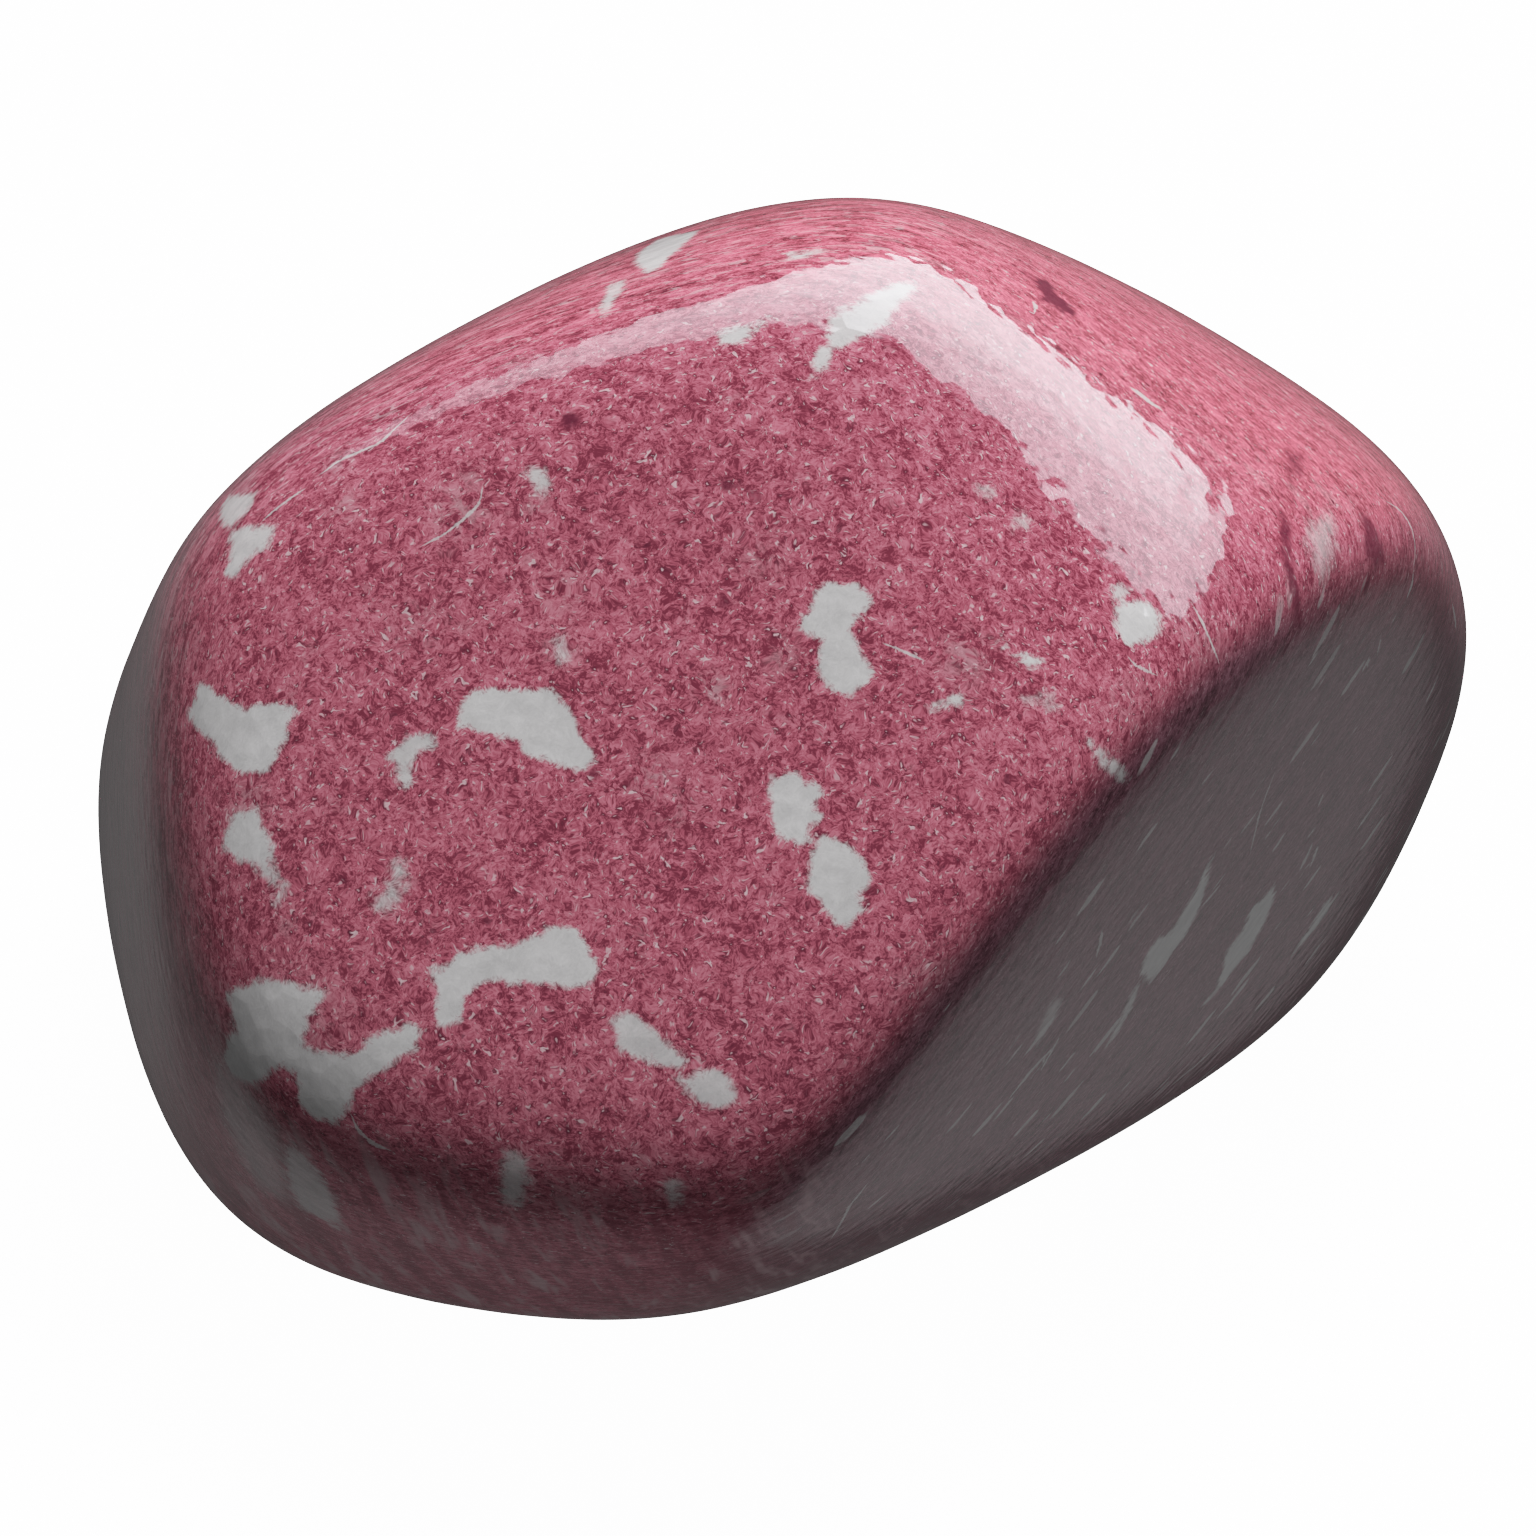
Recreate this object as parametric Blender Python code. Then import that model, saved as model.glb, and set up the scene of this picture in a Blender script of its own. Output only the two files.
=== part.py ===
"""A tumbled thulite pebble: one solid stone with worn, nearly flat sides and rounded edges."""
import math

import bmesh
import bpy
import numpy as np

MM = 0.001

# The worn sides of the stone. Each has its name, the azimuth it faces in degrees from +X,
# its elevation in degrees, its distance from the middle in mm, and how softly it blends into
# its neighbours in mm. The photograph looks along +Y, from 38 degrees above.
SIDES = [
    ("front", -105, 43, 10.6, 1.3),
    ("right shoulder", -54, 55, 14.4, 1.1),
    ("lower right", -43, -11, 11.5, 0.7),
    ("top right", 14, 59, 15.7, 1.0),
    ("top left", 147, 70, 14.1, 0.9),
    ("top back", 77, 43, 14.3, 1.4),
    ("left", -168, 6, 15.9, 1.4),
    ("upper left", 152, 29, 15.2, 1.7),
    ("lower left", -142, -10, 18.1, 1.5),
    ("toe", -101, -32, 14.7, 1.9),
    ("right brow", 5, 19, 18.7, 1.0),
    ("right end", -4, -12, 18.4, 1.2),
    ("right heel", -22, -29, 17.1, 1.1),
    ("back right", 46, 37, 15.8, 1.4),
    ("back left", 129, 43, 13.2, 1.2),
    ("under right", -55, -39, 12.7, 1.0),
    ("base", 0, -90, 12.0, 1.0),
    ("back", 90, 0, 13.5, 1.6),
    ("back under", 80, -45, 15.5, 1.6),
    ("left under", 180, -50, 17.5, 1.6),
]

# The ground spot that the stone rests on, in mm below the middle.
REST_DEPTH = 11.8

# Five rounds of subdivision leave triangles of about 1.1 mm on the finished stone.
BALL_SUBDIVISIONS = 5

# The search for the surface starts outside the stone, at this distance in mm.
SEARCH_START = 26.0
SEARCH_STEPS = 30

# The rim of the rest is kept crisp; edges that turn less than this, in degrees, are smooth.
RIM_ANGLE = 30.0

# Points this near the rest, in mm, are pulled onto it, so that no sliver is left at its rim.
SNAP = 0.06

STONE_COLOUR = (0.46, 0.115, 0.165, 1.0)
STONE_ROUGHNESS = 0.12


def clear_scene():
    for thing in list(bpy.data.objects):
        bpy.data.objects.remove(thing, do_unlink=True)


def side_arrays():
    azimuth = np.radians([side[1] for side in SIDES])
    elevation = np.radians([side[2] for side in SIDES])
    normals = np.stack(
        [
            np.cos(azimuth) * np.cos(elevation),
            np.sin(azimuth) * np.cos(elevation),
            np.sin(elevation),
        ],
        axis=1,
    )
    distances = np.array([float(side[3]) for side in SIDES])
    blends = np.array([float(side[4]) for side in SIDES])
    return normals, distances, blends


def reach(directions):
    """Distance in mm from the middle to the surface, along each unit direction."""
    normals, distances, blends = side_arrays()
    slopes = directions @ normals.T
    length = np.full(len(directions), SEARCH_START)
    for _ in range(SEARCH_STEPS):
        weights = np.exp((slopes * length[:, None] - distances) / blends)
        total = weights.sum(axis=1)
        growth = (weights * slopes / blends).sum(axis=1) / total
        length = length - np.log(total) / growth
    return length


def ball_mesh():
    """A ball of even triangles, still one unit in radius."""
    mesh = bmesh.new()
    bmesh.ops.create_icosphere(mesh, subdivisions=BALL_SUBDIVISIONS, radius=1.0)
    return mesh


def shape_stone(mesh):
    """Move each point of the ball out to the stone's surface."""
    mesh.verts.ensure_lookup_table()
    directions = np.array([vert.co[:] for vert in mesh.verts])
    directions /= np.linalg.norm(directions, axis=1, keepdims=True)
    points = directions * reach(directions)[:, None]
    for vert, point in zip(mesh.verts, points):
        vert.co = point


def grind_rest(mesh):
    """Cut the rest flat, as one plane, and close it with one face."""
    cut = bmesh.ops.bisect_plane(
        mesh,
        geom=mesh.verts[:] + mesh.edges[:] + mesh.faces[:],
        dist=SNAP,
        plane_co=(0.0, 0.0, -REST_DEPTH),
        plane_no=(0.0, 0.0, -1.0),
        clear_outer=True,
    )
    rim = [item for item in cut["geom_cut"] if isinstance(item, bmesh.types.BMEdge)]
    for edge in rim:
        for vert in edge.verts:
            vert.co.z = -REST_DEPTH
    bmesh.ops.contextual_create(mesh, geom=rim)


def stone_material():
    material = bpy.data.materials.new("polished_thulite")
    material.use_nodes = True
    surface = material.node_tree.nodes["Principled BSDF"]
    surface.inputs["Base Color"].default_value = STONE_COLOUR
    surface.inputs["Roughness"].default_value = STONE_ROUGHNESS
    surface.inputs["Metallic"].default_value = 0.0
    return material


def build_stone():
    mesh = ball_mesh()
    shape_stone(mesh)
    grind_rest(mesh)
    bmesh.ops.recalc_face_normals(mesh, faces=mesh.faces[:])

    # The origin goes to the bottom centre of the stone's box.
    points = np.array([vert.co[:] for vert in mesh.verts])
    low, high = points.min(axis=0), points.max(axis=0)
    centre = (low + high) / 2
    for vert in mesh.verts:
        vert.co.x = (vert.co.x - centre[0]) * MM
        vert.co.y = (vert.co.y - centre[1]) * MM
        vert.co.z = (vert.co.z + REST_DEPTH) * MM

    data = bpy.data.meshes.new("thulite_stone")
    mesh.to_mesh(data)
    mesh.free()
    data.materials.append(stone_material())
    stone = bpy.data.objects.new("thulite_stone", data)
    bpy.context.scene.collection.objects.link(stone)
    data.shade_smooth()
    data.set_sharp_from_angle(angle=math.radians(RIM_ANGLE))


clear_scene()
build_stone()
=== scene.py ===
"""A tumbled thulite pebble: worn sides, felted pink grain and grey-white patches, on a pale floor."""

import math

import bpy
import numpy as np
from mathutils import Matrix, Vector
from mathutils.bvhtree import BVHTree


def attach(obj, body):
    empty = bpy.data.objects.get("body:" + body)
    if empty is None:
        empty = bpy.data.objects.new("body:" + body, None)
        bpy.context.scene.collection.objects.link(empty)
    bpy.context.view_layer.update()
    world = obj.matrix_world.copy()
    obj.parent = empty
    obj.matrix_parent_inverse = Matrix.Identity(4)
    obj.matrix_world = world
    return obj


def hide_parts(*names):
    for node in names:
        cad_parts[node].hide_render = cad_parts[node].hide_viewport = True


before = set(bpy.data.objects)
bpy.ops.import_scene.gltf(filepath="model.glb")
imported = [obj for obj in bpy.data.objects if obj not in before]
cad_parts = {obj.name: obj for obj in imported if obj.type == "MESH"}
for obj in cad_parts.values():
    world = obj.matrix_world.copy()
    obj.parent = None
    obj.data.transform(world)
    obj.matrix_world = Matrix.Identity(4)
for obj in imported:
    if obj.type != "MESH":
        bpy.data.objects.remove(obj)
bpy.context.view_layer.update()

MM = 0.001

# The stone's middle in the part's frame, in mm. Sides, bedding and lights are laid out around it.
MIDDLE = Vector((-0.579, 0.645, 11.8))

# The worn sides: name, azimuth and elevation that it faces in degrees, distance from the middle
# in mm, and how softly it blends into its neighbours in mm. Most rows are from a least-squares fit to
# the photograph, rounded or shifted slightly. Back right, base, back, back under and left under aren't.
SIDES = [
    ("front", -105, 43, 10.6, 1.3),
    ("right shoulder", -54, 55, 14.4, 1.1),
    ("lower right", -43, -11, 11.5, 0.7),
    ("top right", 14, 59, 15.7, 1.0),
    ("top left", 147, 70, 14.1, 0.9),
    ("top back", 77, 43, 14.3, 1.4),
    ("left", -168, 6, 15.9, 1.4),
    ("upper left", 152, 29, 15.2, 1.7),
    ("lower left", -142, -10, 18.1, 1.5),
    ("toe", -101, -32, 14.7, 1.9),
    ("right brow", 5, 19, 18.7, 1.0),
    ("right end", -4, -12, 18.4, 1.2),
    ("right heel", -22, -29, 17.1, 1.1),
    ("back right", 46, 37, 15.8, 1.4),
    ("back left", 129, 43, 13.2, 1.2),
    ("under right", -55, -39, 12.7, 1.0),
    ("base", 0, -90, 12.0, 1.0),
    ("back", 90, 0, 13.5, 1.6),
    ("back under", 80, -45, 15.5, 1.6),
    ("left under", 180, -50, 17.5, 1.6),
]
REST_DEPTH = 11.8

# The ball that the stone is worked from, and the search for its surface.
CELLS = 110
SEARCH_START = 26.0
SEARCH_STEPS = 12

# The slight unevenness of the polished sides, in mm.
RIPPLE = 0.07
RIPPLE_LENGTH = 4.5
SHAPE_SEED = 3.0

# The picture's frame in pixels, and the camera that sees the stone as the photograph does.
FRAME_PIXELS = 1536
LENS = 150.0
SENSOR = 36.0
CAMERA_ELEVATION = 38.0
CAMERA_DISTANCE = 159.4
CAMERA_MOVE = (0.35, -0.22)

# The faint waves that the grain leaves in the polish, in mm.
WAVE = 0.012
WAVE_LENGTH = 0.9

# The hollow grains in the polish: their size in mm, how much thinner they are across the beds, and how
# steep they are, as a share of WAVE for each mm.
DIMPLE = 0.55
DIMPLE_RATIO = 2.0
DIMPLE_SLOPE = 1.5

# The bedding of the grain: the direction across the beds, and how much thinner than wide its lenses and
# its streaks are.
BEDDING_AZIMUTH = -103.0
BEDDING_ELEVATION = 38.0
BEDDING_RATIO = 4.0
STREAK_RATIO = 9.0

# The wisps of the wispy side: the direction across them, and how much thinner they are than long.
WISP_LIE = (12.0, 20.0)
WISP_RATIO = 4.5

# Patches of the pale mineral that the photograph shows, flush in the polish. Each has its name, how
# softly its edge fades in mm, how fully it covers the pink (below zero for a dark one), and its outline
# in the picture's pixels.
PATCHES = [
    ("wing", 0.03, 1.0, [
        (186, 713), (198, 698), (196, 689), (202, 682), (217, 694), (226, 700), (241, 709), (273, 704),
        (294, 705), (298, 711), (288, 726), (282, 745), (273, 763), (264, 772), (241, 772), (224, 761),
        (214, 745), (207, 736), (189, 720)]),
    ("under the wing", 0.05, 1.0, [
        (233, 811), (255, 809), (258, 819), (271, 839), (274, 860), (267, 864), (242, 860), (230, 856),
        (223, 848), (223, 839), (229, 834), (230, 825)]),
    ("first tail", 0.06, 0.9, [(255, 863), (274, 866), (277, 878), (270, 882), (257, 872)]),
    ("second tail", 0.06, 0.9, [
        (279, 881), (285, 884), (286, 891), (279, 904), (271, 904), (270, 898), (276, 889)]),
    ("stem", 0.05, 0.95, [
        (386, 756), (402, 744), (405, 736), (417, 734), (439, 735), (436, 744), (420, 748), (419, 756),
        (411, 770), (413, 778), (405, 789), (398, 786), (396, 779), (399, 772), (398, 763), (389, 760)]),
    ("slant", 0.12, 0.75, [
        (396, 863), (405, 863), (401, 876), (407, 888), (394, 901), (388, 910), (380, 914), (374, 909),
        (373, 898), (389, 884), (389, 876)]),
    ("large", 0.03, 1.0, [
        (458, 716), (463, 701), (476, 692), (491, 688), (523, 691), (552, 689), (558, 698), (573, 716),
        (580, 736), (595, 751), (594, 761), (588, 770), (564, 766), (546, 759), (523, 753), (519, 742),
        (499, 736), (482, 732), (476, 729), (455, 726)]),
    ("arch", 0.04, 1.0, [
        (432, 970), (449, 963), (464, 951), (494, 945), (529, 941), (541, 938), (546, 926), (558, 926),
        (573, 929), (580, 939), (596, 963), (598, 972), (594, 986), (582, 988), (552, 984), (520, 984),
        (494, 982), (479, 985), (469, 989), (464, 998), (459, 1019), (446, 1027), (433, 1022),
        (438, 1008), (436, 985)]),
    ("lower left", 0.05, 1.0, [
        (245, 985), (264, 979), (286, 982), (307, 987), (328, 992), (325, 998), (310, 1013), (304, 1036),
        (304, 1047), (316, 1051), (351, 1055), (363, 1045), (378, 1034), (410, 1025), (422, 1029),
        (420, 1042), (398, 1061), (369, 1078), (357, 1086), (350, 1104), (345, 1116), (336, 1122),
        (322, 1120), (307, 1111), (298, 1101), (299, 1084), (295, 1072), (281, 1066), (269, 1073),
        (257, 1084), (242, 1084), (228, 1078), (225, 1060), (228, 1034), (238, 1031), (235, 1019),
        (225, 995)]),
    ("veil", 0.35, 0.5, [
        (214, 1058), (240, 1072), (262, 1106), (284, 1150), (288, 1200), (262, 1190), (238, 1150),
        (222, 1110)]),
    ("lobe", 0.12, 0.8, [
        (284, 1160), (286, 1148), (298, 1148), (319, 1172), (336, 1201), (339, 1216), (338, 1231),
        (328, 1222), (304, 1210), (292, 1192), (288, 1178)]),
    ("lobe streak", 0.12, 0.7, [
        (242, 1148), (254, 1166), (266, 1181), (267, 1195), (257, 1184), (248, 1166)]),
    ("upright", 0.12, 0.8, [
        (503, 1155), (514, 1153), (528, 1159), (528, 1178), (524, 1205), (508, 1205), (503, 1194),
        (501, 1171)]),
    ("toe fleck", 0.08, 0.7, [
        (668, 1178), (676, 1176), (681, 1186), (677, 1209), (671, 1206), (667, 1192)]),
    ("toe lens", 0.08, 0.6, [
        (1054, 998), (1061, 1002), (1056, 1016), (1046, 1032), (1036, 1046), (1038, 1032), (1046, 1014)]),
    ("first of a pair", 0.05, 0.95, [
        (610, 1021), (620, 1013), (635, 1015), (647, 1023), (666, 1042), (689, 1059), (685, 1065),
        (670, 1067), (651, 1063), (620, 1050), (616, 1036)]),
    ("second of a pair", 0.05, 0.95, [
        (676, 1080), (689, 1077), (705, 1071), (716, 1069), (728, 1075), (739, 1098), (732, 1105),
        (705, 1107), (693, 1098), (685, 1088)]),
    ("hourglass", 0.03, 1.0, [
        (819, 589), (832, 583), (855, 585), (869, 593), (873, 602), (863, 616), (851, 621), (855, 639),
        (873, 671), (871, 683), (857, 689), (850, 697), (836, 691), (821, 679), (817, 668), (819, 652),
        (825, 639), (815, 637), (800, 632), (803, 618), (811, 604)]),
    ("round", 0.04, 1.0, [
        (773, 775), (798, 775), (803, 783), (819, 787), (821, 798), (813, 806), (821, 814), (819, 825),
        (809, 829), (813, 841), (798, 843), (777, 835), (775, 825), (771, 818), (773, 806), (769, 795)]),
    ("lower middle", 0.04, 1.0, [
        (819, 837), (834, 835), (846, 843), (865, 864), (869, 879), (867, 891), (861, 898), (863, 914),
        (855, 918), (850, 929), (840, 923), (821, 906), (807, 887), (811, 872), (809, 860), (813, 848)]),
    ("corner", 0.04, 1.0, [
        (1113, 610), (1125, 602), (1148, 602), (1159, 610), (1161, 620), (1159, 631), (1136, 647),
        (1125, 643), (1119, 631)]),
    ("corner chip", 0.05, 0.8, [(1109, 586), (1122, 585), (1130, 590), (1125, 600), (1112, 600)]),
    ("lens", 0.04, 1.0, [
        (996, 635), (1013, 652), (1032, 658), (1048, 664), (1036, 668), (1023, 666), (1003, 648)]),
    ("sliver", 0.05, 1.0, [
        (925, 706), (940, 702), (950, 693), (961, 695), (962, 704), (940, 707), (928, 710)]),
    ("pink sliver", 0.1, 0.6, [
        (1021, 697), (1036, 695), (1057, 695), (1059, 704), (1048, 708), (1027, 700)]),
    ("leaf", 0.06, 0.9, [
        (1086, 739), (1109, 756), (1121, 768), (1128, 779), (1121, 783), (1102, 764), (1094, 752)]),
    ("upper left", 0.06, 0.95, [
        (233, 532), (243, 527), (273, 527), (275, 537), (260, 550), (250, 557), (243, 567), (233, 580),
        (227, 577), (225, 567), (233, 548), (228, 540)]),
    ("over the upper left", 0.06, 0.9, [
        (220, 510), (227, 497), (237, 495), (255, 495), (255, 503), (240, 518), (230, 527), (222, 523)]),
    ("chip at the left", 0.06, 0.9, [
        (528, 473), (538, 465), (545, 470), (552, 490), (548, 495), (538, 495)]),
    ("top", 0.05, 0.95, [
        (636, 264), (637, 254), (659, 239), (690, 232), (698, 231), (690, 239), (661, 267), (648, 273)]),
    ("top strip", 0.06, 0.8, [(612, 282), (623, 280), (624, 288), (606, 314), (601, 319), (602, 305)]),
    ("top slit", 0.04, 0.9, [(783, 254), (803, 252), (839, 249), (803, 257), (786, 258)]),
    ("under the shine", 0.06, 0.95, [
        (813, 377), (811, 368), (818, 352), (827, 344), (831, 330), (829, 318), (838, 309), (850, 311),
        (862, 301), (874, 293), (890, 286), (908, 282), (916, 288), (905, 300), (894, 308), (890, 322),
        (876, 328), (870, 338), (858, 336), (850, 346), (840, 343), (833, 352), (830, 362), (820, 370)]),
    ("left sliver", 0.08, 0.7, [(556, 642), (564, 640), (570, 650), (566, 662), (559, 660)]),
    ("upper fleck", 0.1, 0.6, [(976, 488), (986, 483), (998, 490), (990, 498), (980, 496)]),
    ("lower fleck", 0.1, 0.6, [(1010, 518), (1022, 513), (1032, 519), (1022, 528), (1012, 526)]),
    ("brown dot", 0.04, -0.7, [(589, 768), (596, 767), (599, 773), (594, 779), (588, 775)]),
    ("black speck", 0.05, -1.0, [(562, 414), (574, 411), (580, 420), (571, 430), (561, 425)]),
    ("second speck", 0.04, -0.8, [(722, 482), (732, 480), (739, 486), (730, 491), (722, 488)]),
    ("third speck", 0.04, -0.7, [(749, 491), (758, 492), (760, 499), (752, 500)]),
    ("fourth speck", 0.04, -0.7, [(718, 598), (730, 598), (732, 605), (722, 607)]),
    ("left of the shine", 0.05, 0.95, [
        (717, 335), (739, 326), (751, 329), (768, 316), (777, 317), (762, 323), (756, 335), (736, 345),
        (724, 346)]),
    ("dark lens", 0.03, -0.95, [
        (1012, 264), (1030, 275), (1040, 280), (1048, 281), (1060, 297), (1068, 303), (1076, 312),
        (1074, 318), (1066, 315), (1048, 303), (1040, 300), (1043, 293), (1028, 278)]),
    ("mauve mark", 0.04, -0.6, [
        (1284, 446), (1292, 452), (1303, 452), (1304, 470), (1298, 478), (1292, 468), (1288, 486),
        (1284, 488), (1286, 466)]),
    ("shoulder crack", 0.04, -0.85, [
        (1278, 506), (1286, 518), (1291, 530), (1291, 545), (1289, 556), (1294, 570), (1300, 610),
        (1301, 635), (1298, 636), (1294, 612), (1284, 566), (1280, 548), (1281, 530)]),
    ("dark spot", 0.07, -0.8, [
        (1362, 514), (1372, 520), (1380, 538), (1384, 560), (1376, 572), (1368, 556), (1362, 546),
        (1368, 534), (1360, 524)]),
    ("shoulder", 0.2, 0.45, [
        (1311, 523), (1330, 515), (1334, 526), (1334, 546), (1327, 570), (1323, 585), (1318, 573),
        (1306, 538)]),
    ("first blade", 0.03, 1.0, [
        (1214, 851), (1210, 868), (1207, 884), (1200, 905), (1196, 916), (1186, 934), (1178, 945),
        (1158, 972), (1149, 981), (1140, 972), (1143, 963), (1149, 951), (1158, 938), (1169, 935),
        (1175, 925), (1184, 910), (1197, 890), (1206, 868)]),
    ("tail of the first blade", 0.04, 0.9, [
        (1140, 981), (1131, 1010), (1111, 1042), (1105, 1050), (1113, 1033), (1122, 1016), (1131, 995)]),
    ("second blade", 0.03, 1.0, [
        (1274, 884), (1274, 898), (1266, 919), (1249, 951), (1234, 969), (1222, 986), (1208, 1001),
        (1200, 1007), (1216, 989), (1224, 966), (1225, 954), (1234, 942), (1243, 931), (1252, 907),
        (1261, 901)]),
    ("third blade", 0.04, 0.95, [
        (1331, 897), (1330, 907), (1322, 919), (1299, 948), (1289, 963), (1299, 942), (1308, 931),
        (1324, 904)]),
]

# Thin veins that the photograph shows: name, half width in mm, 1 for pale or -1 for dark, and path.
VEINS = [
    ("upper left hair", 0.035, 1, [(317, 477), (340, 460), (380, 443), (413, 412)]),
    ("crossing hair", 0.035, 1, [(420, 547), (443, 535), (463, 520), (480, 503), (483, 483)]),
    ("left hair", 0.035, 1, [(260, 523), (277, 508), (307, 487)]),
    ("middle hair", 0.03, 1, [(882, 643), (896, 648), (925, 661)]),
    ("corner hair", 0.04, 1, [(1127, 656), (1136, 666), (1158, 676)]),
    ("lower left loop", 0.05, 1, [(350, 1112), (358, 1130), (375, 1145), (395, 1152)]),
    ("right rim hair", 0.05, 1, [(1452, 603), (1455, 618), (1456, 632)]),
    ("long hair", 0.035, 1, [(1275, 772), (1266, 795), (1259, 816), (1250, 854)]),
    ("short blade", 0.07, 1, [(1286, 831), (1279, 842), (1271, 854)]),
    ("loop blade", 0.08, 1, [(1313, 842), (1306, 858), (1299, 872)]),
    ("first branch", 0.045, 1, [(1222, 883), (1210, 897), (1200, 909)]),
    ("lower blade", 0.06, 1, [(1102, 930), (1100, 945), (1096, 958)]),
    ("toe blade", 0.08, 1, [(1054, 1046), (1030, 1072), (1008, 1100)]),
    ("beside the loop blade", 0.05, 1, [(1319, 845), (1314, 858), (1309, 869)]),
    ("above the loop blade", 0.05, 1, [(1324, 792), (1321, 800), (1317, 809)]),
    ("under the toe lens", 0.06, 1, [(1060, 1036), (1050, 1054), (1040, 1072)]),
    ("seam in the second blade", 0.04, -1, [(1246, 925), (1238, 940), (1231, 954)]),
    ("toe streak", 0.05, 1, [(870, 1180), (850, 1205), (830, 1240)]),
    ("under streak", 0.05, 1, [(1228, 1036), (1195, 1066), (1168, 1088)]),
    ("shoulder slit", 0.06, 1, [(1129, 386), (1146, 399), (1163, 411)]),
    ("right curve", 0.03, 1, [(1384, 500), (1400, 510), (1411, 526), (1415, 545), (1413, 572)]),
    ("end of the right curve", 0.06, 1, [(1414, 572), (1411, 588), (1406, 600)]),
    ("hooked dash", 0.045, 1, [(1371, 654), (1365, 666), (1359, 677)]),
    ("upper dash", 0.04, 1, [(1382, 636), (1380, 642), (1377, 656)]),
    ("rim streak", 0.05, 1, [(1440, 672), (1432, 690), (1424, 706)]),
    ("left seam", 0.03, -1, [(228, 1010), (233, 1022), (239, 1034)]),
    ("branching vein", 0.03, 1, [(1190, 600), (1202, 622), (1212, 645), (1219, 663)]),
    ("under the dark lens", 0.05, 1, [(1032, 300), (1036, 306), (1034, 314)]),
    ("lower crescent", 0.09, -1, [(1370, 575), (1367, 585), (1363, 598)]),
]

# Hazes where the pale mineral is scattered among the pink: place, radius in pixels, and strength.
HAZES = [
    ((248, 807), 20, 0.7), ((287, 923), 10, 0.5), ((460, 511), 26, 0.6), ((470, 474), 12, 0.5),
    ((337, 465), 16, 0.5), ((343, 505), 16, 0.5), ((245, 490), 12, 0.5), ((560, 590), 22, 0.35),
    ((965, 658), 22, 0.6), ((781, 656), 18, 0.45), ((536, 506), 10, 0.6), ((712, 690), 14, 0.8),
    ((560, 650), 16, 0.5), ((655, 780), 22, 0.45), ((675, 815), 18, 0.4), ((300, 1020), 40, 0.4),
    ((1125, 700), 24, 0.3), ((1345, 500), 26, 0.5), ((1400, 590), 16, 0.5), ((1035, 1015), 18, 0.7),
    ((1050, 1054), 18, 0.5), ((675, 1193), 16, 0.5), ((1316, 860), 12, 0.6), ((640, 1160), 12, 0.5),
    ((222, 1040), 26, 0.6), ((238, 1000), 22, 0.5), ((250, 1125), 30, 0.6), ((560, 1190), 40, 0.3),
    ((1200, 640), 26, 0.4), ((930, 980), 30, 0.35), ((760, 560), 26, 0.25), ((420, 620), 30, 0.25),
    ((980, 350), 40, 0.3),
]

# The sides whose look differs: one with painted shade, darker and greyer where it faces lower right, away
# from the overhead lamp, and deepest wine at its edge; one with long streaks; one with wisps that run down
# it; and one with painted light, lighter and redder where it faces the overhead lamp. Each has its name, the
# azimuth and elevation that it faces, how squarely a point must face that way to show the first of it and
# the whole of it, and where it ends in the picture, in mm above the stone's middle. It fades out over the
# last few mm.
SIDE_LOOKS = [
    # Painted shade: darker and greyer where the surface faces lower right, away from the overhead lamp.
    ("painted shade side", -43.0, -11.0, 0.64, 0.92, 6.0),
    ("streaked side", 150.0, 35.0, 0.15, 0.55, 30.0),
    ("wispy side", -108.0, -34.0, 0.55, 0.82, 30.0),
    # Painted light: lighter and redder where the surface faces the overhead lamp.
    ("painted light side", 50.0, 60.0, 0.60, 0.88, 30.0),
]
SIDE_LOOK_FADE = 3.6

# How far from the line of a vein and from the outline of a patch, in mm, the stone's points hold their
# distance to it, and how squarely they must face the way that it faces.
VEIN_RANGE = 0.5
PATCH_RANGE = 1.0
SAME_SIDE = 0.2

# The patches of the hidden sides: how many, the lenses in each, their smallest and largest half width
# in mm, and how uneven their outlines are. Their middles lie where the surface faces well away from
# the camera, and they end where it starts to face it.
HIDDEN_PATCHES = 64
HIDDEN_LENSES = 4
HIDDEN_SIZES = (0.4, 3.0)
HIDDEN_UNEVEN = 0.15
HIDDEN_FACING = -0.3
HIDDEN_END = 0.1
HIDDEN_SEED = 11

# How squarely a side faces across the beds where it still counts as lying along them, and how much less
# squarely where it counts as cut right across them.
ALONG_BEDS = 0.97
EDGEWISE_RANGE = 0.35


def facing(azimuth, elevation):
    """The unit vector that faces an azimuth and an elevation, both in degrees."""
    a, e = math.radians(azimuth), math.radians(elevation)
    return Vector((math.cos(a) * math.cos(e), math.sin(a) * math.cos(e), math.sin(e)))


class Flow:
    """A socket of a node tree, so that the maths of shapes and shaders is written as expressions."""

    def __init__(self, tree, socket):
        self.tree = tree
        self.socket = socket

    def math(self, operation, *others):
        return self.tree.math(operation, self, *others)

    def __add__(self, other):
        return self.math("ADD", other)

    def __sub__(self, other):
        return self.math("SUBTRACT", other)

    def __rsub__(self, other):
        return self.tree.math("SUBTRACT", other, self)

    def __mul__(self, other):
        return self.math("MULTIPLY", other)

    def __truediv__(self, other):
        return self.math("DIVIDE", other)

    def __rtruediv__(self, other):
        return self.tree.math("DIVIDE", other, self)

    def __neg__(self):
        return self * -1.0

    def __abs__(self):
        return self.math("ABSOLUTE")

    __radd__ = __add__
    __rmul__ = __mul__


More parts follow.
